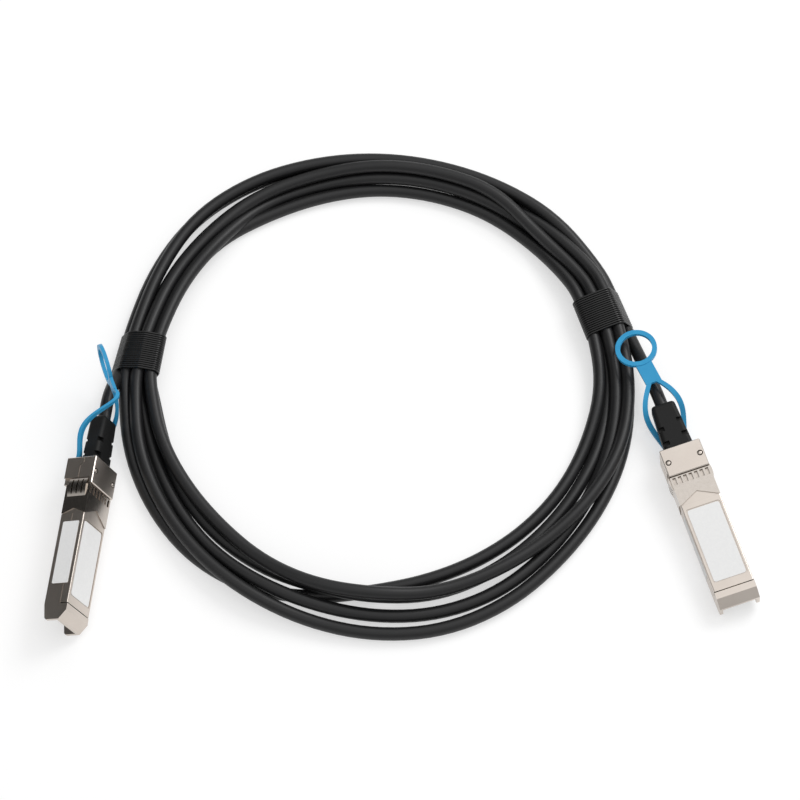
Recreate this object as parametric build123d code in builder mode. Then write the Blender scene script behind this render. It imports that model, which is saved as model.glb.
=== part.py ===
from build123d import *
import os
from math import cos, pi, radians, sin, tan

os.makedirs("parts", exist_ok=True)

# A copper network cable with a small metal plug moulded to each end. The cable lies in a
# flat coil held by two wound ties, and both plugs lie beside the coil with their noses forward.
# Sizes in millimetres, the table top at Z = 0. Each plug is drawn in its own frame: X runs from
# the back of its head to its nose, Y across it, Z towards its label, with the middle of the
# nose part at Y = Z = 0.

# Cable and coil
CABLE_D = 4.3
COIL_AT = (-9.45, 35.85)
COIL_R = 78.7
COIL_STRETCH = 1.05
COIL_UNDER = 0.7
COIL_H = 9.3
COIL_EDGE = 2.0
TIE_WALL = 0.7

# Plug: the thick head outside the cage, the long nose part inside it
PLUG_L = 57.0
HEAD_L = 9.7
HEAD_SIDE_L = 7.6
HEAD_W = 13.8
HEAD_TOP = 5.0
HEAD_UNDER = 5.75
NOSE_W = 13.4
NOSE_H = 8.5
NOSE_TOP = NOSE_H / 2
SHELL_T = 1.1
PARTING_Z = 1.6
PARTING_BACK = 0.0
PARTING_STEP = 25.0
SEAM_W = 0.25
GROOVE_X = PLUG_L - 5.4
GROOVE_W = 0.3
SLOPE_X = PLUG_L - 3.0
NOSE_LIP = 1.9
MOUTH_L = 5.4
CABLE_Z = 0.6
CLAMP_D = 5.4
CAVITY_X = HEAD_L + 1.0
CAVITY_W = NOSE_W - 2 * SHELL_T
CAVITY_TOP = NOSE_TOP - 1.0
RIVET_X = 5.0
RIVET_Y = HEAD_W / 2 - 1.5
RIVET_D = 1.4

# Shielding collar with its row of spring fingers
COLLAR_T = 0.3
COLLAR_OUT = 0.1
COLLAR_X = HEAD_L + 0.3
COLLAR_L = 10.1
COLLAR_V = 3.3
COLLAR_BOW = 0.6
FINGER_L = 2.5
FINGER_PITCH = 1.85
FINGER_GAP = 1.1
SIDE_FINGER_X = HEAD_SIDE_L + 0.4
SIDE_FINGER_L = 6.2
SIDE_FINGER_H = NOSE_H - 1.8
NOTCH_Y = NOSE_W / 2 - COLLAR_T + COLLAR_OUT - 0.4
NOTCH_TOP = SIDE_FINGER_H / 2 + 0.5

# Labels: one in a pocket of the cover, between the collar and the groove, and one on the -Y side
POCKET_X = COLLAR_X + COLLAR_L + 2.0
POCKET_L = GROOVE_X - 2.9 - POCKET_X
POCKET_W = NOSE_W - 1.8
LABEL_X = POCKET_X + POCKET_L / 2
LABEL_CLEAR = 0.4

# Circuit card inside the nose: its tongue ends a little way inside the mouth
CARD_X = 26.0
CARD_END = 3.5
CARD_L = PLUG_L - CARD_END - CARD_X
CARD_CLEAR = 0.2
CARD_W = CAVITY_W - 2 * CARD_CLEAR
CARD_T = 1.0
PAD_PITCH = 0.8
WIRE_D = 0.84

# Release: a sliding frame lifts the tail of a latch that turns on a pin
TRAVEL = 2.5
CHANNEL_W = 5.8
CHANNEL_HEAD_W = 7.2
CHANNEL_ROOF = -2.6
PIN_X = 22.5
PIN_Z = -3.45
PIN_D = 0.8
PIN_PLAY = 0.05
LATCH_W = 4.8
LATCH_Z = -4.15
LATCH_T = 0.4
LATCH_TURN = 3.8
RAMP_X = 8.6
RAMP_END = 5.9
RAMP_SLOPE = 0.423
BOSS_X = 13.2
BOSS_DROP = 0.7
SLIDER_W = 6.6
SLIDER_BACK = 1.6
BAR_X = 8.2
BAR_TOP = -4.4

# Boot and pull tab
BOOT_L = 16.6
BOOT_W = 9.8
BOOT_END_W = 8.0
BOOT_H = 6.0
TAB_T = 1.2
TAB_ARM_W = 1.75
TAB_NECK_W = 5.4
RING_D = 13.8
RING_BAND = 1.6

# Where each plug lies: the middle of its head's back face, the way its nose points, how far it
# is rolled on its side, and how far its nose dips so that head and nose both touch the table
LEFT_AT = (-100.95, 4.45, 8.79)
LEFT_YAW = -96.7
LEFT_ROLL = -65.9
LEFT_DIP = 1.03
RIGHT_AT = (90.05, 10.95, 6.84)
RIGHT_YAW = -72.8
RIGHT_ROLL = 7.3
RIGHT_DIP = 1.96


def seat(at, yaw, roll, dip):
    return Location(at) * Rot(0, 0, yaw) * Rot(0, dip, 0) * Rot(roll, 0, 0)


left_seat = seat(LEFT_AT, LEFT_YAW, LEFT_ROLL, LEFT_DIP)
right_seat = seat(RIGHT_AT, RIGHT_YAW, RIGHT_ROLL, RIGHT_DIP)

SIDE_VIEW = Plane.XZ
LABEL_PLANE = Plane.XY.offset(NOSE_TOP)
CABLE_PLANE = Plane.YZ.offset(0)

# The line where the two shell halves meet steps once along the head and once along the nose part
HEAD_SEAM = ((0, 0.8), (2.2, 0.8), (3.2, -0.3), (HEAD_L, -0.3))
NOSE_SEAM = ((HEAD_L, PARTING_BACK), (PARTING_STEP, PARTING_BACK), (PARTING_STEP + 1.6, PARTING_Z),
             (GROOVE_X + GROOVE_W / 2, PARTING_Z))

# Lower half of the die-cast shell: the head's underside, the floor, both side walls and the nose tip
with BuildPart() as lower_shell:
    with BuildSketch(SIDE_VIEW):
        with BuildLine():
            Polyline(
                (HEAD_L, -NOSE_TOP), (PLUG_L - 5.2, -NOSE_TOP), (PLUG_L - 0.5, 0.95 - NOSE_TOP),
                (PLUG_L, 1.5 - NOSE_TOP), (PLUG_L, NOSE_LIP), (SLOPE_X, NOSE_TOP),
                (GROOVE_X + GROOVE_W / 2, NOSE_TOP), *reversed(NOSE_SEAM), close=True,
            )
        make_face()
    extrude(amount=NOSE_W / 2, both=True)
    with BuildSketch(SIDE_VIEW):
        with BuildLine():
            Polyline((0, -HEAD_UNDER), (HEAD_L, -HEAD_UNDER), *reversed(HEAD_SEAM), close=True)
        make_face()
    extrude(amount=HEAD_W / 2, both=True)
    head_edges = lower_shell.edges().filter_by(Axis.Z).filter_by_position(Axis.X, -1, HEAD_L - 0.1)
    fillet(head_edges, 0.5)
    # Step all round the nose part where the collar sits, deeper under its fingers
    for depth, start, length in (
        (COLLAR_T - COLLAR_OUT, HEAD_L, COLLAR_L + 0.5),
        (COLLAR_T - COLLAR_OUT + 0.4, HEAD_L, FINGER_L + 0.9),
    ):
        with BuildSketch(Plane.YZ.offset(start)):
            Rectangle(NOSE_W + 1, NOSE_H + 1)
            Rectangle(NOSE_W - 2 * depth, NOSE_H - 2 * depth, mode=Mode.SUBTRACT)
        extrude(amount=length, mode=Mode.SUBTRACT)
    # The head is shorter on its sides, where the collar's side fingers start
    with Locations((HEAD_SIDE_L, NOTCH_Y + 1, NOTCH_TOP), (HEAD_SIDE_L, -NOTCH_Y - 1, NOTCH_TOP)):
        Box(HEAD_L - HEAD_SIDE_L, 2, 20, align=(Align.MIN, Align.CENTER, Align.MAX), mode=Mode.SUBTRACT)
    # Hollow: shallow over the latch, deep under the card, with a ledge each side for the card
    with BuildSketch(SIDE_VIEW):
        with BuildLine():
            Polyline(
                (CAVITY_X, CHANNEL_ROOF + 0.6), (CARD_X, CHANNEL_ROOF + 0.6), (CARD_X, SHELL_T - NOSE_TOP),
                (PLUG_L, SHELL_T - NOSE_TOP), (PLUG_L, -CARD_T / 2), (CAVITY_X, -CARD_T / 2), close=True,
            )
        make_face()
    extrude(amount=CAVITY_W / 2 - 0.7, both=True, mode=Mode.SUBTRACT)
    with BuildSketch(SIDE_VIEW):
        with BuildLine():
            Polyline(
                (CAVITY_X, -CARD_T / 2), (PLUG_L, -CARD_T / 2), (PLUG_L, NOSE_LIP - 1.0), (SLOPE_X, CAVITY_TOP),
                (CAVITY_X, CAVITY_TOP), close=True,
            )
        make_face()
    extrude(amount=CAVITY_W / 2, both=True, mode=Mode.SUBTRACT)
    # The floor stops short at the mouth, so that the side walls stand free there like two prongs
    with Locations((PLUG_L - MOUTH_L, 0, -CARD_T / 2)):
        Box(MOUTH_L, CAVITY_W, NOSE_H, align=(Align.MIN, Align.CENTER, Align.MAX), mode=Mode.SUBTRACT)
    # Half of the round seat for the cable clamp
    with BuildSketch(CABLE_PLANE):
        with Locations((0, CABLE_Z)):
            Circle(CLAMP_D / 2)
    extrude(amount=CAVITY_X, mode=Mode.SUBTRACT)
    # Channel in the underside for the latch and the slider
    with Locations((HEAD_L - 0.1, 0, CHANNEL_ROOF)):
        Box(PIN_X + 1.7 - HEAD_L, CHANNEL_W, 4, align=(Align.MIN, Align.CENTER, Align.MAX), mode=Mode.SUBTRACT)
    with Locations((0, 0, CHANNEL_ROOF)):
        Box(HEAD_L, CHANNEL_HEAD_W, 4, align=(Align.MIN, Align.CENTER, Align.MAX), mode=Mode.SUBTRACT)
    # Bores for the latch pin and the two rivets
    with Locations(Location((PIN_X, 0, PIN_Z), (90, 0, 0))):
        Cylinder(PIN_D / 2, CHANNEL_W + 2, mode=Mode.SUBTRACT)
    with Locations((RIVET_X, RIVET_Y, -1.2), (RIVET_X, -RIVET_Y, -1.2)):
        Cylinder(RIVET_D / 2, 3, align=(Align.CENTER, Align.CENTER, Align.MIN), mode=Mode.SUBTRACT)
    # Fine groove along the outside of the joint between the halves
    for seam, width in ((HEAD_SEAM, HEAD_W), (NOSE_SEAM, NOSE_W)):
        for side in (1, -1):
            with BuildSketch(Plane.XZ.offset(side * (width / 2 - 0.15))):
                with BuildLine():
                    Polyline(*seam, *[(x, z - SEAM_W) for x, z in reversed(seam)], close=True)
                make_face()
            extrude(amount=side, mode=Mode.SUBTRACT)

# Upper half: the head's top and the long cover with the label's pocket, up to the groove at the nose
with BuildPart() as upper_shell:
    with BuildSketch(SIDE_VIEW):
        with BuildLine():
            Polyline(
                *NOSE_SEAM[:3], (GROOVE_X - GROOVE_W / 2, PARTING_Z), (GROOVE_X - GROOVE_W / 2, NOSE_TOP),
                (HEAD_L, NOSE_TOP), close=True,
            )
        make_face()
    extrude(amount=NOSE_W / 2, both=True)
    fillet(upper_shell.edges().filter_by(Axis.X).group_by(Axis.Z)[-1], 0.35)
    with BuildSketch(SIDE_VIEW):
        with BuildLine():
            Polyline(*HEAD_SEAM, (HEAD_L, HEAD_TOP), (0, HEAD_TOP), close=True)
        make_face()
    extrude(amount=HEAD_W / 2, both=True)
    head_edges = upper_shell.edges().filter_by(Axis.Z).filter_by_position(Axis.X, -1, HEAD_L - 0.1)
    fillet(head_edges, 0.5)
    chamfer(upper_shell.faces().filter_by_position(Axis.Z, HEAD_TOP - 0.01, HEAD_TOP + 0.01).edges(), 0.25)
    for depth, start, length in (
        (COLLAR_T - COLLAR_OUT, HEAD_L, COLLAR_L + 0.5),
        (COLLAR_T - COLLAR_OUT + 0.4, HEAD_L, FINGER_L + 0.9),
    ):
        with BuildSketch(Plane.YZ.offset(start)):
            Rectangle(NOSE_W + 1, NOSE_H + 1)
            Rectangle(NOSE_W - 2 * depth, NOSE_H - 2 * depth, mode=Mode.SUBTRACT)
        extrude(amount=length, mode=Mode.SUBTRACT)
    with Locations((HEAD_SIDE_L, NOTCH_Y + 1, NOTCH_TOP), (HEAD_SIDE_L, -NOTCH_Y - 1, NOTCH_TOP)):
        Box(HEAD_L - HEAD_SIDE_L, 2, 20, align=(Align.MIN, Align.CENTER, Align.MAX), mode=Mode.SUBTRACT)
    with Locations((CAVITY_X, 0, CAVITY_TOP)):
        Box(PLUG_L, CAVITY_W, NOSE_H, align=(Align.MIN, Align.CENTER, Align.MAX), mode=Mode.SUBTRACT)
    with BuildSketch(CABLE_PLANE):
        with Locations((0, CABLE_Z)):
            Circle(CLAMP_D / 2)
    extrude(amount=CAVITY_X, mode=Mode.SUBTRACT)
    # Rivet holes, with a shallow ring sunk round each rivet's head
    with Locations((RIVET_X, RIVET_Y, -1.2), (RIVET_X, -RIVET_Y, -1.2)):
        Cylinder(RIVET_D / 2, 8, align=(Align.CENTER, Align.CENTER, Align.MIN), mode=Mode.SUBTRACT)
    with Locations((RIVET_X, RIVET_Y, HEAD_TOP), (RIVET_X, -RIVET_Y, HEAD_TOP)):
        Cylinder(RIVET_D / 2 + 0.3, 1.8, mode=Mode.SUBTRACT)
    # Shallow pocket that takes the product label
    with BuildSketch(LABEL_PLANE):
        with Locations((LABEL_X, 0)):
            RectangleRounded(POCKET_L, POCKET_W, 0.8)
    extrude(amount=-0.2, mode=Mode.SUBTRACT)

# Stamped spring collar that earths the plug to its cage: slots leave a row of fingers on every
# face, and its front edge is cut to a wide V
with BuildPart() as emi_collar:
    with BuildSketch(Plane.YZ.offset(COLLAR_X)):
        Rectangle(NOSE_W + 2 * COLLAR_OUT, NOSE_H + 2 * COLLAR_OUT)
        Rectangle(NOSE_W + 2 * (COLLAR_OUT - COLLAR_T), NOSE_H + 2 * (COLLAR_OUT - COLLAR_T), mode=Mode.SUBTRACT)
    extrude(amount=COLLAR_L)
    # The fingers on both sides start further back and are bowed outward to press on the cage
    for side in (1, -1):
        edge = side * (NOSE_W / 2 + COLLAR_OUT - COLLAR_T)
        face = side * (NOSE_W / 2 + COLLAR_OUT)
        with BuildSketch(Plane.XY):
            with BuildLine():
                Polyline(
                    (SIDE_FINGER_X, face), (SIDE_FINGER_X, edge), (SIDE_FINGER_X + SIDE_FINGER_L, edge),
                    (SIDE_FINGER_X + SIDE_FINGER_L, face),
                )
                ThreePointArc(
                    (SIDE_FINGER_X + SIDE_FINGER_L, face), (SIDE_FINGER_X + SIDE_FINGER_L / 2, face + side * COLLAR_BOW),
                    (SIDE_FINGER_X, face),
                )
            make_face()
        extrude(amount=SIDE_FINGER_H / 2, both=True)
    with BuildSketch(Plane.XY):
        with BuildLine():
            Polyline(
                (COLLAR_X + COLLAR_L - COLLAR_V, 0), (COLLAR_X + COLLAR_L, NOSE_W / 2 - 0.3),
                (COLLAR_X + COLLAR_L, 0.3 - NOSE_W / 2), close=True,
            )
        make_face()
        with GridLocations(1, FINGER_PITCH, 1, 7):
            with Locations((COLLAR_X + 0.3 + FINGER_L / 2, 0)):
                Rectangle(FINGER_L, FINGER_GAP)
    extrude(amount=NOSE_H, both=True, mode=Mode.SUBTRACT)
    with BuildSketch(SIDE_VIEW):
        with BuildLine():
            Polyline(
                (COLLAR_X + COLLAR_L - COLLAR_V / 2, 0), (COLLAR_X + COLLAR_L, NOSE_TOP - 0.3),
                (COLLAR_X + COLLAR_L, 0.3 - NOSE_TOP), close=True,
            )
        make_face()
        with GridLocations(1, FINGER_PITCH, 1, 3):
            with Locations((SIDE_FINGER_X + SIDE_FINGER_L / 2 - 0.2, 0)):
                Rectangle(SIDE_FINGER_L - 1.2, 0.45)
    extrude(amount=NOSE_W, both=True, mode=Mode.SUBTRACT)
    with Locations((COLLAR_X, 0, -NOSE_TOP)):
        Box(COLLAR_L, CHANNEL_W + 0.4, 2, align=(Align.MIN, Align.CENTER, Align.CENTER), mode=Mode.SUBTRACT)

# Circuit card whose front edge is the plug's contact tongue
with BuildPart() as paddle_card:
    with Locations((CARD_X + CARD_L / 2, 0, 0)):
        Box(CARD_L, CARD_W, CARD_T)
    tongue_edges = paddle_card.faces().sort_by(Axis.X)[-1].edges().filter_by(Axis.Y)
    chamfer(tongue_edges, 0.3)

# Ten gold contact pads on each face of the tongue
with BuildPart() as card_contacts:
    with Locations((CARD_X + CARD_L - 1.9, 0, CARD_T / 2 + 0.02), (CARD_X + CARD_L - 1.9, 0, -CARD_T / 2 - 0.02)):
        with GridLocations(1, PAD_PITCH, 1, 10):
            Box(2.6, 0.55, 0.04)

# Memory chip that tells the port what cable is plugged in
with BuildPart() as memory_chip:
    with Locations((CARD_X + 12, 1.6, CARD_T / 2)):
        Box(3.0, 2.0, 0.75, align=(Align.CENTER, Align.CENTER, Align.MIN))

# The four insulated cores of the two pairs, soldered over and under the back of the card
with BuildPart() as signal_wires:
    with BuildSketch(Plane.YZ.offset(HEAD_L - 0.2)):
        with Locations((1.0, CARD_T / 2 + WIRE_D / 2), (-1.0, CARD_T / 2 + WIRE_D / 2)):
            Circle(WIRE_D / 2)
        with Locations((0.65, -CARD_T / 2 - WIRE_D / 2), (-0.65, -CARD_T / 2 - WIRE_D / 2)):
            Circle(WIRE_D / 2)
    extrude(amount=CARD_X + 2.5 - HEAD_L)

# Crimped sleeve that clamps the cable's braid between the two shell halves
with BuildPart() as crimp_ferrule:
    with BuildSketch(CABLE_PLANE.offset(2.4)):
        with Locations((0, CABLE_Z)):
            Circle(CLAMP_D / 2)
            Circle(CABLE_D / 2, mode=Mode.SUBTRACT)
    extrude(amount=7.4)

# Moulded boot that keeps the cable from bending sharply at the head, slotted so that it flexes
with BuildPart() as strain_relief:
    with BuildSketch(Plane.XY.offset(CABLE_Z)):
        with BuildLine():
            Polyline(
                (0, BOOT_W / 2), (-BOOT_L, BOOT_END_W / 2), (-BOOT_L, -BOOT_END_W / 2), (0, -BOOT_W / 2),
                close=True,
            )
        make_face()
    extrude(amount=BOOT_H / 2, both=True)
    fillet(strain_relief.edges().filter_by(Axis.Z).sort_by(Axis.X)[:2], 1.2)
    fillet(strain_relief.edges().filter_by_position(Axis.X, -BOOT_L + 0.1, -0.1), 1.4)
    for side in (1, -1):
        for back in (3.2 + 0.9 * side, 8.4 + 0.9 * side):
            with Locations((-back, side * BOOT_W / 2, CABLE_Z + BOOT_H / 2), (-back, side * BOOT_W / 2, CABLE_Z - BOOT_H / 2)):
                Box(1.5, 5.0, 2.4, mode=Mode.SUBTRACT)
    with BuildSketch(CABLE_PLANE):
        with Locations((0, CABLE_Z)):
            Circle(CLAMP_D / 2)
    extrude(amount=2.4)
    with BuildSketch(CABLE_PLANE.offset(-BOOT_L)):
        with Locations((0, CABLE_Z)):
            Circle(CABLE_D / 2)
    extrude(amount=BOOT_L + 2.4, mode=Mode.SUBTRACT)

# Flat frame that the tab pulls back: two rails, a back piece and the bar that lifts the latch
with BuildPart() as release_slider:
    with Locations((SLIDER_BACK, 0, LATCH_Z + 0.15)):
        Box(BAR_X + 0.6 - SLIDER_BACK, SLIDER_W, 0.9, align=(Align.MIN, Align.CENTER, Align.MAX))
    with Locations((SLIDER_BACK + 1.6, 0, LATCH_Z)):
        Box(8, LATCH_W + 0.7, 4, align=(Align.MIN, Align.CENTER, Align.CENTER), mode=Mode.SUBTRACT)
    with Locations((BAR_X, 0, BAR_TOP)):
        Box(0.6, SLIDER_W, 0.6, align=(Align.MIN, Align.CENTER, Align.MAX))

# Stamped latch: an eye on the pin, the boss that hooks the cage, and a tail bent to a ramp
RAMP_DROP = RAMP_SLOPE * (RAMP_X - RAMP_END)
with BuildPart() as latch:
    with BuildSketch(SIDE_VIEW):
        with BuildLine():
            Polyline(
                (PIN_X, LATCH_Z), (RAMP_X, LATCH_Z), (RAMP_END, LATCH_Z - RAMP_DROP),
                (RAMP_END, LATCH_Z - RAMP_DROP + LATCH_T), (RAMP_X, LATCH_Z + LATCH_T),
                (PIN_X, LATCH_Z + LATCH_T), close=True,
            )
        make_face()
        with Locations((PIN_X, PIN_Z)):
            Circle(0.75)
            Circle(PIN_D / 2 + PIN_PLAY, mode=Mode.SUBTRACT)
    extrude(amount=LATCH_W / 2, both=True)
    with BuildSketch(SIDE_VIEW):
        with BuildLine():
            Polyline(
                (BOSS_X, LATCH_Z), (BOSS_X, LATCH_Z - BOSS_DROP), (BOSS_X + 0.8, LATCH_Z - BOSS_DROP),
                (BOSS_X + 2.6, LATCH_Z), close=True,
            )
        make_face()
    extrude(amount=1.3, both=True)

with BuildPart() as latch_pin:
    with Locations(Location((PIN_X, 0, PIN_Z), (90, 0, 0))):
        Cylinder(PIN_D / 2, CHANNEL_W + 2)

# Folded leaf under the channel's roof that presses on the latch beside its pin
with BuildPart() as return_spring:
    with BuildSketch(SIDE_VIEW):
        with BuildLine():
            Polyline(
                (16.9, CHANNEL_ROOF), (20.4, CHANNEL_ROOF), (20.4, CHANNEL_ROOF - 0.2), (17.4, CHANNEL_ROOF - 0.2),
                (20.6, -3.36), (20.5, -3.55), (16.9, CHANNEL_ROOF - 0.25), close=True,
            )
        make_face()
    extrude(amount=1.6, both=True)

# Two rivets that hold the shell halves together at the head
with BuildPart() as cover_rivets:
    with Locations((RIVET_X, RIVET_Y, -1.2), (RIVET_X, -RIVET_Y, -1.2)):
        Cylinder(RIVET_D / 2, HEAD_TOP + 1.35, align=(Align.CENTER, Align.CENTER, Align.MIN))
    fillet(cover_rivets.edges().group_by(Axis.Z)[-1], 0.35)

with BuildPart() as product_label:
    with BuildSketch(LABEL_PLANE.offset(-0.2)):
        with Locations((LABEL_X, 0)):
            RectangleRounded(POCKET_L - 2 * LABEL_CLEAR, POCKET_W - 2 * LABEL_CLEAR, 0.8)
    extrude(amount=0.12)

with BuildPart() as side_label:
    with BuildSketch(Plane.XZ.offset(NOSE_W / 2)):
        with Locations((LABEL_X - 1.5, 0)):
            RectangleRounded(POCKET_L - 5.0, 5.9, 0.4)
    extrude(amount=0.1)


def pull_tab(stations, neck, ring_at, ring_roll, ring_rise):
    """One moulded strap: two arms pass the boot, join in a neck and end in a finger ring."""
    with BuildPart() as tab:
        with Locations((SLIDER_BACK, 0, LATCH_Z + 0.15)):
            Box(4.0, 2 * stations[0][4] + TAB_ARM_W, TAB_T, align=(Align.MAX, Align.CENTER, Align.MAX))
        for arm in (1, -1):
            for x, y, z, roll, half in stations:
                section = Plane((x, y, z), x_dir=(0, cos(radians(roll)), -sin(radians(roll))), z_dir=(-1, 0, 0))
                with BuildSketch(section):
                    with Locations((arm * half, 0)):
                        Rectangle(TAB_ARM_W, TAB_T)
            loft()
        for x, y, z, roll, half in (stations[-1], neck):
            section = Plane((x, y, z), x_dir=(0, cos(radians(roll)), -sin(radians(roll))), z_dir=(-1, 0, 0))
            with BuildSketch(section):
                Rectangle(TAB_NECK_W, TAB_T)
        loft()
        with BuildSketch(Plane(Location(ring_at, (ring_roll, ring_rise, 0)))):
            Circle(RING_D / 2)
            Circle(RING_D / 2 - RING_BAND, mode=Mode.SUBTRACT)
        extrude(amount=TAB_T / 2, both=True)
    return tab


# Along the strap: how far back, across, up, how far it has twisted, and half the space between
# the arms. The right tab runs straight back over its cable; the left one twists to stand on edge.
right_tab = pull_tab(
    (
        (-1.2, 0, -4.75, 0, 2.4), (-6.0, 0, -4.6, 0, 3.9), (-10.5, 0, -3.4, 0, 5.3),
        (-15.5, -0.1, 1.6, 0, 6.0), (-20.0, -0.1, 4.3, 0, 4.2), (-23.6, -0.3, 5.0, 0, 1.7),
    ),
    (-31.0, -1.3, 5.6, 0, 1.7), (-37.2, -1.7, 5.1), 0, -6,
)
left_tab = pull_tab(
    (
        (-1.2, 0, -4.75, 0, 2.4), (-7.0, -0.4, -3.6, 8, 6.4), (-15.6, -1.5, 2.7, 18, 7.8),
        (-19.9, -3.4, 6.8, 29, 5.1), (-23.3, -5.7, 6.8, 29, 1.7),
    ),
    (-27.3, -6.9, 5.0, 29, 1.7), (-32.7, -8.3, 2.7), -29, -27,
)


def around(angle, offset, height):
    """A point of the coil: an angle about its middle and a distance out from its mean oval."""
    reach = COIL_R + offset
    across = COIL_AT[0] + reach * cos(radians(angle))
    return (across, COIL_AT[1] + COIL_STRETCH * reach * sin(radians(angle)), height)


# Outer shape of the coil: drawn together at the two ties, fanned out between them.
# Angle, inner edge and outer edge from the mean oval
RIGHT_TIE = 18.8
LEFT_TIE = 171.5
COIL_PLAN = (
    (RIGHT_TIE - 6, -5.25, 5.0), (RIGHT_TIE + 6, -5.25, 5.0), (58, -8.0, 9.4), (105, -8.8, 10.4), (140, -7.6, 9.4),
    (LEFT_TIE - 6, -6.5, 4.3), (LEFT_TIE + 6, -6.5, 4.3), (225, -11.4, 6.8), (285, -12.2, 9.2), (335, -9.6, 7.4),
)
with BuildPart() as cable_coil:
    with BuildSketch(Plane.XY.offset(COIL_UNDER)):
        with BuildLine():
            Spline(*[around(angle, outer, COIL_UNDER) for angle, inner, outer in COIL_PLAN], periodic=True)
        make_face()
        with BuildLine():
            Spline(*[around(angle, inner, COIL_UNDER) for angle, inner, outer in COIL_PLAN], periodic=True)
        make_face(mode=Mode.SUBTRACT)
    extrude(amount=COIL_H)
    chamfer(cable_coil.edges().filter_by(GeomType.BSPLINE), COIL_EDGE)


def lead(place, tie_point):
    """The uncoiled stretch between a plug and its tie."""
    start = (place * Pos(HEAD_L - 0.2, 0, CABLE_Z)).position
    bend = (place * Pos(-BOOT_L - 10.4, 0, CABLE_Z)).position
    end = Vector(*tie_point)
    turn = (bend - start).get_angle(end - bend)
    radius = 0.45 * min((bend - start).length, (end - bend).length) / tan(radians(turn) / 2)
    print("lead bend radius", round(radius, 1), "turn", round(turn, 1))
    with BuildPart() as tube:
        with BuildLine():
            route = FilletPolyline(start, bend, end, radius=radius)
        with BuildSketch(Plane(route @ 0, z_dir=route % 0)):
            Circle(CABLE_D / 2)
        sweep(path=route)
    print("lead volume", round(tube.part.volume, 1), "section x length",
          round(pi * CABLE_D ** 2 / 4 * route.length, 1))
    return tube


left_lead = lead(left_seat, around(LEFT_TIE - 2, 6.0, 5.2))
right_lead = lead(right_seat, around(RIGHT_TIE + 2, 6.6, 5.9))


def tie(angle, inner, outer, length, held):
    """A band of fine cord wound round the coil's strands and the lead beside them."""
    out = Vector(COIL_STRETCH * cos(radians(angle)), sin(radians(angle)), 0).normalized()
    height = COIL_UNDER + COIL_H + TIE_WALL
    with BuildPart() as band:
        with BuildSketch(Plane(around(angle, 0, 0), x_dir=out, z_dir=(out.Y, -out.X, 0)).offset(-length / 2)):
            with Locations(((inner + outer) / 2, height / 2)):
                RectangleRounded(outer - inner, height, 3.0)
        extrude(amount=length)
        add(cable_coil.part, mode=Mode.SUBTRACT)
        add(held.part, mode=Mode.SUBTRACT)
    return band


left_tie = tie(LEFT_TIE, -7.2, 9.3, 11.5, left_lead)
right_tie = tie(RIGHT_TIE, -5.95, 10.0, 13.0, right_lead)

# Both plugs are the same, so each piece is drawn once and set at either end of the cable
plug_pieces = {
    "lower_shell": lower_shell,
    "upper_shell": upper_shell,
    "emi_collar": emi_collar,
    "paddle_card": paddle_card,
    "card_contacts": card_contacts,
    "memory_chip": memory_chip,
    "signal_wires": signal_wires,
    "crimp_ferrule": crimp_ferrule,
    "strain_relief": strain_relief,
    "release_slider": release_slider,
    "latch": latch,
    "latch_pin": latch_pin,
    "return_spring": return_spring,
    "cover_rivets": cover_rivets,
    "product_label": product_label,
    "side_label": side_label,
}
finished = {
    "cable_coil": cable_coil.part,
    "left_lead": left_lead.part,
    "right_lead": right_lead.part,
    "left_tie": left_tie.part,
    "right_tie": right_tie.part,
    "left_pull_tab": left_seat * left_tab.part,
    "right_pull_tab": right_seat * right_tab.part,
}
for name, piece in plug_pieces.items():
    finished["left_" + name] = left_seat * piece.part
    finished["right_" + name] = right_seat * piece.part
for name, solid in finished.items():
    solid.label = name
    export_step(solid, "parts/" + name + ".step")
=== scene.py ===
import bpy
from math import cos, pi, radians, sin
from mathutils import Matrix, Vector


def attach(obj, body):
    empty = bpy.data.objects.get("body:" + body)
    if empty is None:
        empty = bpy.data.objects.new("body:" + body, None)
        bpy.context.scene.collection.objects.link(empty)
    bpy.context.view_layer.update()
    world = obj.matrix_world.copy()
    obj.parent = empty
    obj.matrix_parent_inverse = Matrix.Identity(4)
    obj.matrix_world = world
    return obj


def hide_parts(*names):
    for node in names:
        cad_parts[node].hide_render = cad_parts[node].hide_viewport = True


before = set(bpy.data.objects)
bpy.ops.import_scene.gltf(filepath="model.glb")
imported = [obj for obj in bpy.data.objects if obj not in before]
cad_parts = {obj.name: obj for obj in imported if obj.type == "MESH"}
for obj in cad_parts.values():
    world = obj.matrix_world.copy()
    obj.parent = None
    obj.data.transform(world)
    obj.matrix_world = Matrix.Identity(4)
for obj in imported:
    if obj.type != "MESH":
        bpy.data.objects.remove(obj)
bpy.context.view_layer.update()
bpy.ops.object.select_all(action="DESELECT")

# Inside of each plug: a green circuit card with gold contact pads and a moulded chip, the cable's cores
# soldered to it, and a copper sleeve crimped on the braid. The shell halves close round all of it, and
# only the card's tongue shows, in the mouth.
PLUGS = ("left_", "right_")


def linear(code):
    """An sRGB hex colour as the linear colour that shaders take."""
    channels = [int(code[i:i + 2], 16) / 255 for i in (1, 3, 5)]
    return [c / 12.92 if c <= 0.04045 else ((c + 0.055) / 1.055) ** 2.4 for c in channels] + [1]


def add_node(owner, kind, sockets=(), **settings):
    """Adds one node with its settings and its inputs, each a value or another node's output."""
    made = owner.node_tree.nodes.new(kind)
    for name, value in settings.items():
        setattr(made, name, value)
    for socket, value in dict(sockets).items():
        if isinstance(value, bpy.types.NodeSocket):
            owner.node_tree.links.new(value, made.inputs[socket])
        else:
            made.inputs[socket].default_value = value
    return made


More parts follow.
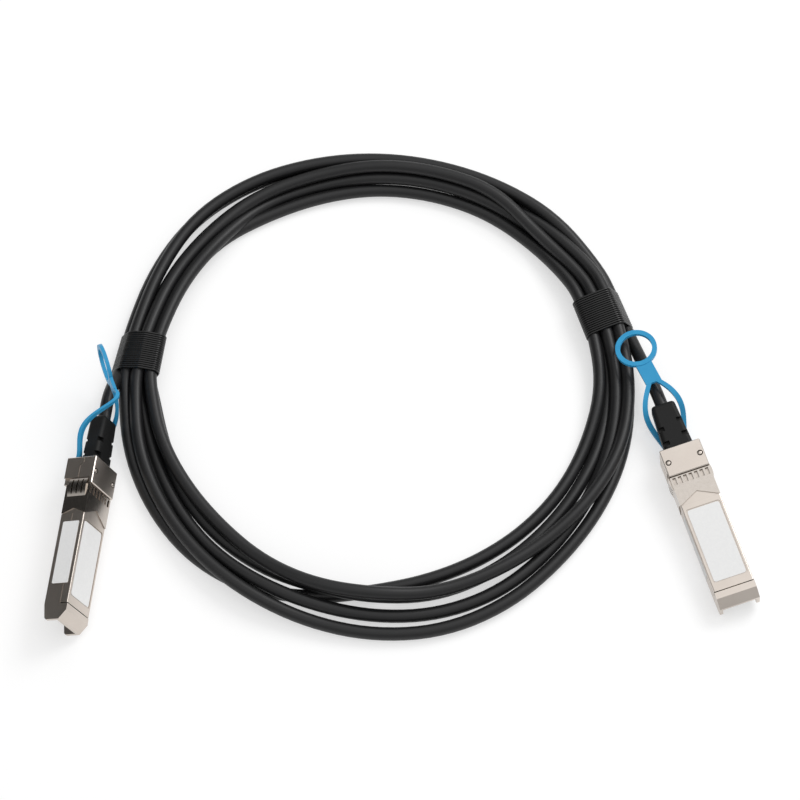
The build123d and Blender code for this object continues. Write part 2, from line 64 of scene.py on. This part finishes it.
def two_toned(name, dark, light, patch, detail):
    """A material of two close colours that drift into each other; patch is their width in millimetres."""
    made = bpy.data.materials.new(name)
    made.use_nodes = True
    place = add_node(made, "ShaderNodeTexCoord", name="Place")
    drift = add_node(made, "ShaderNodeTexNoise",
                     {"Vector": place.outputs["Object"], "Scale": 1000 / patch, "Detail": detail},
                     name="Drift")
    tone = add_node(made, "ShaderNodeMix",
                    {"Factor": drift.outputs["Fac"], "A": linear(dark), "B": linear(light)},
                    data_type="RGBA", name="Tone")
    shader = made.node_tree.nodes["Principled BSDF"]
    made.node_tree.links.new(tone.outputs["Result"], shader.inputs["Base Color"])
    return made


def finish_with(material, *names):
    """Gives the pieces of these names in both plugs a material."""
    for plug in PLUGS:
        for name in names:
            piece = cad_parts[plug + name]
            piece.data.materials.clear()
            piece.data.materials.append(material)


# Each finish: its piece, two colours, metallic, roughness, and how wide its faint mottling is in millimetres.
# Solder mask is a semi-gloss lacquer, gold flash and copper are bright, chip moulding is matt.
for finish, name, dark, light, metallic, roughness, patch in (
    ("green_solder_mask", "paddle_card", "#0f3d22", "#14502c", 0.0, 0.4, 2.0),
    ("gold_flash", "card_contacts", "#c79a3c", "#dcb65c", 1.0, 0.25, 1.0),
    ("black_chip_moulding", "memory_chip", "#131313", "#1e1e1e", 0.0, 0.6, 0.3),
    ("white_core_insulation", "signal_wires", "#c9c9c4", "#dcdcd8", 0.0, 0.35, 1.0),
    ("crimped_copper", "crimp_ferrule", "#a5683f", "#bd7d52", 1.0, 0.35, 1.0),
):
    inner = two_toned(finish, dark, light, patch, detail=2)
    shader = inner.node_tree.nodes["Principled BSDF"]
    shader.inputs["Metallic"].default_value = metallic
    shader.inputs["Roughness"].default_value = roughness
    finish_with(inner, name)

# Boots: black thermoplastic elastomer, moulded round the end of the cable and held in the head of the
# shell. Their slots let them bend with the cable.
SPARK_PATCH = 0.35
# Moulded elastomer: matt black, with the fine spark-eroded grain of its mould
boot_black = two_toned("moulded_black_elastomer", "#101010", "#191919", SPARK_PATCH, detail=2)
spark = boot_black.node_tree.nodes["Drift"]
grain = add_node(boot_black, "ShaderNodeBump",
                 {"Height": spark.outputs["Fac"], "Strength": 0.2, "Distance": 0.0001})
shader = boot_black.node_tree.nodes["Principled BSDF"]
boot_black.node_tree.links.new(grain.outputs["Normal"], shader.inputs["Normal"])
shader.inputs["Roughness"].default_value = 0.55
shader.inputs["Specular IOR Level"].default_value = 0.25
finish_with(boot_black, "strain_relief")

# Shell halves and rivets: two zinc castings closed on the card, riveted at the head and nickel plated.
# The plate is bright but no mirror, because the cast skin under it breaks reflections up softly.
CLOUD_PATCH = 9
SKIN_PATCH = 0.5
# How far into slots and seams the painted shade reaches, in millimetres
PAINTED_SHADE_REACH = 0.9
# Nickel plate over cast zinc: warm, satin, with faint cloudy changes of tone and painted shade in recesses
nickel = two_toned("nickel_plated_zinc", "#cdc3ba", "#dbd2c9", CLOUD_PATCH, detail=3)
cloud = nickel.node_tree.nodes["Drift"]
rough = add_node(nickel, "ShaderNodeMapRange", {"Value": cloud.outputs["Fac"], "To Min": 0.3, "To Max": 0.37})
place = nickel.node_tree.nodes["Place"]
skin = add_node(nickel, "ShaderNodeTexNoise",
                {"Vector": place.outputs["Object"], "Scale": 1000 / SKIN_PATCH, "Detail": 2})
grain = add_node(nickel, "ShaderNodeBump",
                 {"Height": skin.outputs["Fac"], "Strength": 0.05, "Distance": 0.0001})
# Painted shade: an occlusion lookup blends the base colour towards dark grey-brown in slots, seams and rivet
# rings
recess = add_node(nickel, "ShaderNodeAmbientOcclusion", {"Distance": PAINTED_SHADE_REACH / 1000}, samples=8)
shade = add_node(nickel, "ShaderNodeMapRange",
                 {"Value": recess.outputs["AO"], "From Min": 0.2, "From Max": 0.8,
                  "To Min": 0.3, "To Max": 1.0})
tone = nickel.node_tree.nodes["Tone"]
painted_recess_shade = add_node(nickel, "ShaderNodeMix",
                  {"Factor": shade.outputs["Result"], "A": linear("#5c564f"), "B": tone.outputs["Result"]},
                  data_type="RGBA")
shader = nickel.node_tree.nodes["Principled BSDF"]
nickel.node_tree.links.new(painted_recess_shade.outputs["Result"], shader.inputs["Base Color"])
nickel.node_tree.links.new(rough.outputs["Result"], shader.inputs["Roughness"])
nickel.node_tree.links.new(grain.outputs["Normal"], shader.inputs["Normal"])
shader.inputs["Metallic"].default_value = 1.0
finish_with(nickel, "lower_shell", "upper_shell", "cover_rivets")

# Stamped pieces: the spring collar snapped round the shell, the latch with its pin and return spring,
# and the release slider in the channel of the underside. All are stainless, the flat ones cut from strip.
STRIP_PATCH = 1.2
# Stamped stainless: smoother and shinier than the castings, slightly uneven from rolling
stainless = two_toned("stamped_stainless", "#c3bbb3", "#d3cbc3", STRIP_PATCH, detail=4)
rolled = stainless.node_tree.nodes["Drift"]
rough = add_node(stainless, "ShaderNodeMapRange",
                 {"Value": rolled.outputs["Fac"], "To Min": 0.16, "To Max": 0.24})
shader = stainless.node_tree.nodes["Principled BSDF"]
stainless.node_tree.links.new(rough.outputs["Result"], shader.inputs["Roughness"])
shader.inputs["Metallic"].default_value = 1.0
finish_with(stainless, "emi_collar", "release_slider", "latch", "latch_pin", "return_spring")

# Pull tabs: blue nylon straps moulded in one piece with a finger ring. Their two arms run past the boot
# to the release slider, which they pull back.
FLOW_PATCH = 4
# Moulded nylon: light blue with a low sheen, a little mottled where it flowed
tab_blue = two_toned("moulded_blue_nylon", "#2c91c4", "#3ea4d3", FLOW_PATCH, detail=3)
shader = tab_blue.node_tree.nodes["Principled BSDF"]
shader.inputs["Roughness"].default_value = 0.38
shader.inputs["Specular IOR Level"].default_value = 0.25
finish_with(tab_blue, "pull_tab")

# Labels: white plastic film, glued into the pocket of the cover and on one side of the shell. They are
# the last pieces put on a plug.
FIBRE_PATCH = 0.8
# Label film: plain white and matt, very slightly uneven
film = two_toned("white_label_film", "#e9e9e9", "#f3f3f2", FIBRE_PATCH, detail=3)
film.node_tree.nodes["Principled BSDF"].inputs["Roughness"].default_value = 0.55
finish_with(film, "product_label", "side_label")

# Cable: one length of round black cable, from the left boot round the coil to the right boot.
# Ties gather its strands at two places, and between them the strands fan out, cross and ride up.
# Its sizes are in millimetres, and its places on the coil in degrees about the coil's middle.
CABLE_D = 4.3
COIL_AT = (-9.45, 35.85)
COIL_R = 78.7
COIL_STRETCH = 1.05
# The places: at the left tie, over the top, at the right tie, and back along the bottom
LEFT_TIE = (175.5, 166.5)
OVER = (150, 135, 120, 105, 90, 75, 60, 45, 30)
RIGHT_TIE = (23, 15)
UNDER = (0, -15, -30, -45, -60, -75, -90, -105, -120, -135, -150, -165, -180)
# The control points of a smooth line stand a little outside it, by this much at 15 degrees apart
STAND_OFF = 0.67
# A lap goes over the top from the left tie to the right one and back along the bottom.
# Each place in it: distance out from the mean oval, height of the cable's middle.
laps = (
    {"left": (5.8, 3.1), "right": (3.1, 2.9),
     "over": ((8.0, 2.2), (10.0, 2.2), (9.3, 2.2), (8.2, 2.2), (6.3, 2.2),
              (6.5, 2.2), (6.9, 2.2), (6.2, 2.2), (3.9, 2.3)),
     "under": ((5.3, 2.2), (5.6, 2.2), (5.0, 2.2), (4.8, 2.2), (6.0, 2.2), (6.4, 2.2), (5.0, 2.2),
               (3.6, 3.2), (3.2, 6.1), (2.5, 5.7), (1.9, 5.2), (1.6, 5.2), (0.4, 6.4))},
    {"left": (-0.4, 7.3), "right": (0.6, 7.0),
     "over": ((0.5, 6.0), (0.7, 5.9), (2.2, 5.9), (1.9, 6.2), (1.7, 8.8),
              (1.8, 8.9), (2.4, 8.8), (-1.0, 6.1), (1.1, 6.2)),
     "under": ((1.2, 5.8), (1.2, 4.1), (0.4, 2.3), (0.5, 2.2), (1.4, 2.2), (0.8, 2.2), (-0.8, 2.8),
               (-1.2, 5.8), (-1.6, 5.4), (-1.9, 2.7), (-2.5, 2.2), (-2.6, 2.2), (-0.6, 2.3))},
    {"left": (1.5, 2.9), "right": (4.7, 7.4),
     "over": ((2.2, 2.2), (3.0, 2.2), (4.4, 2.2), (4.0, 2.2), (2.0, 2.2),
              (2.2, 2.2), (2.6, 2.2), (3.4, 5.8), (5.5, 6.4)),
     "under": ((5.3, 6.5), (4.7, 6.4), (1.5, 6.4), (-2.0, 5.6), (-3.8, 6.4), (-4.6, 6.5), (-5.6, 10.0),
               (-6.2, 9.8), (-8.0, 6.5), (-9.2, 5.4), (-8.2, 5.5), (-6.0, 6.3), (-4.5, 6.5))},
    {"left": (-4.4, 6.8), "right": (-1.2, 2.9),
     "over": ((-3.8, 6.2), (-3.6, 6.3), (0.1, 2.3), (-0.2, 2.4), (-1.0, 5.3),
              (-0.7, 5.4), (-0.2, 5.4), (1.1, 2.3), (-0.6, 2.3)),
     "under": ((-1.4, 2.2), (-2.5, 2.2), (-4.2, 2.2), (-5.1, 2.2), (-5.4, 2.2), (-5.6, 2.3), (-6.0, 6.0),
               (-7.1, 5.9), (-7.4, 2.5), (-6.7, 2.2), (-6.5, 2.2), (-6.8, 2.2), (-4.8, 2.3))},
    {"left": (-2.8, 2.9), "right": (-3.9, 6.2),
     "over": ((-2.1, 2.2), (-1.7, 2.2), (-4.2, 2.2), (-4.6, 2.2), (-4.0, 2.2),
              (-3.7, 2.2), (-3.1, 2.2), (-3.2, 2.3), (-3.3, 5.8)),
     "under": ((-4.0, 5.4), (-6.8, 2.4), (-8.5, 2.2), (-10.0, 2.2), (-11.0, 2.2), (-11.0, 2.2), (-9.6, 2.2),
               (-4.8, 2.2), (0.6, 2.2), (3.8, 2.2), (4.6, 2.2), (4.8, 2.4), (4.2, 4.3))},
    {"left": (3.8, 6.1), "right": (7.4, 2.9),
     "over": ((5.7, 6.0), (8.4, 6.2), (8.0, 6.3), (6.6, 6.1), (5.5, 6.5),
              (5.3, 6.5), (6.2, 6.4), (7.6, 6.4), (8.2, 2.9)),
     "under": ()},
)
# The leads: from inside the left boot to the coil, and from the coil to inside the right boot
left_lead = [(-100.41, 4.38, 9.04), (-98.47, 20.87, 9.33), (-97.4, 31.3, 9.0)]
right_lead = [(81.7, 36.9, 8.0), (85.08, 26.76, 8.0), (89.98, 10.91, 7.44)]


def around(angle, lane, height):
    """A place on the coil, from the angle about its middle and the distance out from its mean oval."""
    reach = COIL_R + lane
    across = COIL_AT[0] + reach * cos(radians(angle))
    return Vector((across, COIL_AT[1] + COIL_STRETCH * reach * sin(radians(angle)), height)) / 1000


route = [Vector(p) / 1000 for p in left_lead]
for lap in laps:
    places = [(a, *lap["left"]) for a in LEFT_TIE] + [(a, *p) for a, p in zip(OVER, lap["over"])]
    places += [(a, *lap["right"]) for a in RIGHT_TIE] + [(a, *p) for a, p in zip(UNDER, lap["under"])]
    route += [around(angle, lane + STAND_OFF, height) for angle, lane, height in places]
route += [Vector(p) / 1000 for p in right_lead]

line = bpy.data.curves.new("cable", "CURVE")
line.dimensions = "3D"
strand = line.splines.new("NURBS")
strand.points.add(len(route) - 1)
for point, at in zip(strand.points, route):
    point.co = (*at, 1)
strand.order_u = 3
strand.use_endpoint_u = True
line.resolution_u = 6
line.bevel_depth = CABLE_D / 2000
line.bevel_resolution = 6
line.use_fill_caps = True
cable = bpy.data.objects.new("cable", line)
bpy.context.scene.collection.objects.link(cable)

PEEL_PATCH = 0.7
# Extruded PVC: dark grey-black and satin, with the faint orange-peel of extrusion
jacket = two_toned("extruded_black_pvc", "#151516", "#1e1e1f", PEEL_PATCH, detail=3)
peel = jacket.node_tree.nodes["Drift"]
grain = add_node(jacket, "ShaderNodeBump",
                 {"Height": peel.outputs["Fac"], "Strength": 0.1, "Distance": 0.0001})
shader = jacket.node_tree.nodes["Principled BSDF"]
jacket.node_tree.links.new(grain.outputs["Normal"], shader.inputs["Normal"])
shader.inputs["Roughness"].default_value = 0.42
shader.inputs["Specular IOR Level"].default_value = 0.4
line.materials.append(jacket)
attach(cable, "cable_and_plugs")
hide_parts("cable_coil", "left_lead", "right_lead")

# Ties: fine black cord wound tightly round the strands and the lead beside them, eighteen turns at each
# of two places, so that every turn shows as a ridge.
TIE_CORD_D = 0.68
TIE_PITCH = 0.8
TIE_BITE = 0.1
STEPS_PER_TURN = 40
FUZZ_PATCH = 0.4
# Waxed cord: nearly black and glossy, so that each turn catches the light along its crest
tie_black = two_toned("waxed_black_cord", "#0c0c0c", "#171717", FUZZ_PATCH, detail=2)
tie_black.node_tree.nodes["Principled BSDF"].inputs["Roughness"].default_value = 0.15
# Each tie: the middle of it on the coil, its width, and how far it spreads where the lead leaves it
for name, angle, width, spread in (("left", 171.9, 14.2, 1.0), ("right", 18.5, 14.4, 0.4)):
    held = [Vector(lap[name]) for lap in laps]
    out = Vector((cos(radians(angle)), COIL_STRETCH * sin(radians(angle)), 0))
    along = Vector((sin(radians(angle)), -COIL_STRETCH * cos(radians(angle)), 0)).normalized()
    winding = bpy.data.curves.new(name + "_winding", "CURVE")
    winding.dimensions = "3D"
    loop = winding.splines.new("POLY")
    steps = round(width / TIE_PITCH) * STEPS_PER_TURN
    loop.points.add(steps)
    for i, point in enumerate(loop.points):
        turned = 2 * pi * i / STEPS_PER_TURN
        aim = Vector((cos(turned), sin(turned)))
        outermost = max(held, key=lambda middle: middle.dot(aim))
        reach = outermost + aim * (CABLE_D / 2 + TIE_CORD_D / 2 - TIE_BITE)
        share = i / steps
        beyond = spread * max(aim.x, 0) * (share if name == "right" else 1 - share)
        height = Vector((0, 0, max(reach.y, TIE_CORD_D / 2)))
        offset = out * (reach.x + beyond) + along * (width * (share - 0.5)) + height
        point.co = (*(around(angle, 0, 0) + offset / 1000), 1)
    winding.bevel_depth = TIE_CORD_D / 2000
    winding.bevel_resolution = 2
    winding.use_fill_caps = True
    band = bpy.data.objects.new(name + "_winding", winding)
    bpy.context.scene.collection.objects.link(band)
    winding.materials.append(tie_black)
    bpy.context.view_layer.objects.active = band
    band.select_set(True)
    bpy.ops.object.convert(target="MESH")
    band.select_set(False)
    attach(band, "cable_and_plugs")
    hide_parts(name + "_tie")

# Table: a white sheet, six metres wide, just under the cable. Seen straight or in bright metal, about
# half of its white is its own, so that the object's shadow stays but is soft.
TABLE_WIDTH = 6
TABLE_GLOW = 0.55
bpy.ops.mesh.primitive_plane_add(size=TABLE_WIDTH, location=(0, 0, -0.0001))
table = bpy.context.object
table.name = "table"
# White paper: matt, with no sheen at all
white = bpy.data.materials.new("white_sweep")
white.use_nodes = True
shader = white.node_tree.nodes["Principled BSDF"]
path = add_node(white, "ShaderNodeLightPath")
mirrored = add_node(white, "ShaderNodeMath",
                    {0: path.outputs["Is Glossy Ray"], 1: path.outputs["Is Transmission Ray"]},
                    operation="MAXIMUM")
seen = add_node(white, "ShaderNodeMath",
                {0: path.outputs["Is Camera Ray"], 1: mirrored.outputs["Value"]}, operation="MAXIMUM")
paper = add_node(white, "ShaderNodeMix",
                 {"Factor": seen.outputs["Value"], "A": linear("#f4f4f4"), "B": linear("#bcbcbc")},
                 data_type="RGBA")
lift = add_node(white, "ShaderNodeMath", {0: seen.outputs["Value"], 1: TABLE_GLOW}, operation="MULTIPLY")
white.node_tree.links.new(paper.outputs["Result"], shader.inputs["Base Color"])
white.node_tree.links.new(lift.outputs["Value"], shader.inputs["Emission Strength"])
shader.inputs["Emission Color"].default_value = (1, 1, 1, 1)
shader.inputs["Roughness"].default_value = 0.9
shader.inputs["Specular IOR Level"].default_value = 0.0
table.data.materials.append(white)

# Light: a broad white ceiling, dimmer towards the horizon, with one dark screen far off to the left that
# the left plug's metal mirrors, and a square lamp at the back on the right.
CEILING_TOWARDS = (0.1, 0.2, 0.97)
SCREEN_TOWARDS = (-0.645, 0.518, 0.562)
world = bpy.data.worlds.new("surround")
bpy.context.scene.world = world
world.use_nodes = True
sky = add_node(world, "ShaderNodeTexCoord")
above = add_node(world, "ShaderNodeVectorMath", {0: sky.outputs["Generated"], 1: CEILING_TOWARDS},
                 operation="DOT_PRODUCT")
ceiling = add_node(world, "ShaderNodeMapRange",
                   {"Value": above.outputs["Value"], "From Min": 0.45, "From Max": 0.9,
                    "To Min": 0.55, "To Max": 1.1}, interpolation_type="SMOOTHSTEP")
facing = add_node(world, "ShaderNodeVectorMath", {0: sky.outputs["Generated"], 1: SCREEN_TOWARDS},
                  operation="DOT_PRODUCT")
screen = add_node(world, "ShaderNodeMapRange",
                  {"Value": facing.outputs["Value"], "From Min": 0.82, "From Max": 0.94,
                   "To Min": 1.0, "To Max": 0.05}, interpolation_type="SMOOTHSTEP")
room = add_node(world, "ShaderNodeMath", {0: ceiling.outputs["Result"], 1: screen.outputs["Result"]},
                operation="MULTIPLY")
background = world.node_tree.nodes["Background"]
world.node_tree.links.new(room.outputs["Value"], background.inputs["Strength"])
background.inputs["Color"].default_value = (1, 1, 1, 1)

bpy.ops.object.light_add(type="AREA", location=(0.5, 0.5, 0.75))
lamp = bpy.context.object
lamp.data.size = 0.45
lamp.data.energy = 3.4
lamp.rotation_euler = (Vector((0, 0.03, 0)) - lamp.location).to_track_quat("-Z", "Y").to_euler()

# Camera: 62 degrees above the table and 0.9 metres away in front, with a long lens, aimed near the
# middle of the coil.
VIEW_HEIGHT = 62
VIEW_DISTANCE = 0.9
VIEW_AT = Vector((-0.00135, 0.03325, 0))
away = Vector((0, -cos(radians(VIEW_HEIGHT)), sin(radians(VIEW_HEIGHT))))
bpy.ops.object.camera_add(location=VIEW_AT + VIEW_DISTANCE * away, rotation=(radians(90 - VIEW_HEIGHT), 0, 0))
camera = bpy.context.object
camera.data.lens = 121.5
camera.data.sensor_width = 36
camera.data.clip_start = 0.01
bpy.context.scene.camera = camera
bpy.context.scene.view_settings.view_transform = "Standard"
